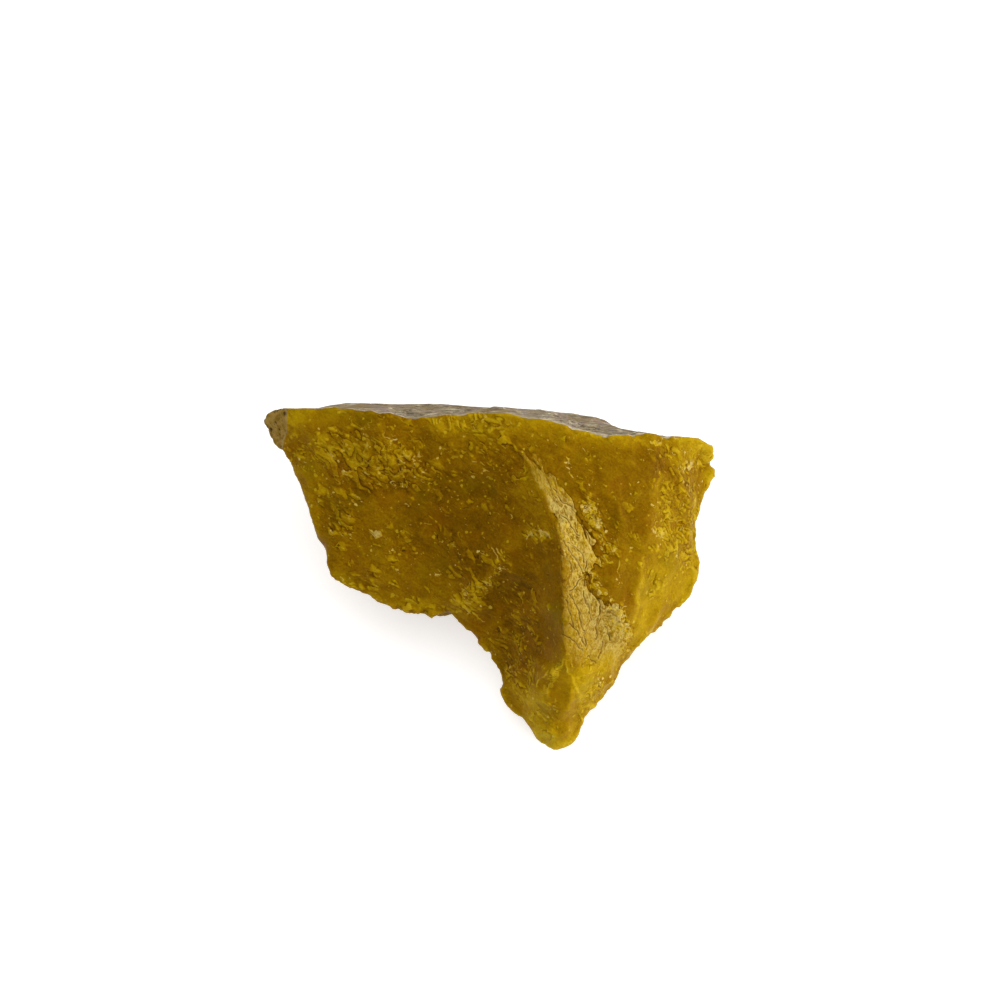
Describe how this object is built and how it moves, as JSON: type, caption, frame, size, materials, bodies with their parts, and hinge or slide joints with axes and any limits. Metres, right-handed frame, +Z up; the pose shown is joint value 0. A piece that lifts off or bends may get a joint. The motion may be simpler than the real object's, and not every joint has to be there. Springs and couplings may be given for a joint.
{
  "type": "rough topaz",
  "caption": "Rough lump of cloudy yellow stone with broken faces, one sharp ridge, a pointed tip and a weathered rind, lying on a flat cleavage face.",
  "frame": {"origin": "on the surface it lies on, under the middle of its box", "axes": "+X along the rind edge, from the knob to the blunt corner; +Y from the pointed tip to the rind; +Z up, out of the flat face it lies on"},
  "size_m": [0.0594, 0.0474, 0.0263],
  "materials": {
    "cloudy_topaz": "waxy broken surface, cloudy amber yellow, with a dull grey-beige rind along one side"
  },
  "bodies": {
    "root": {"rough_topaz": "cloudy_topaz"}
  },
  "joints": []
}
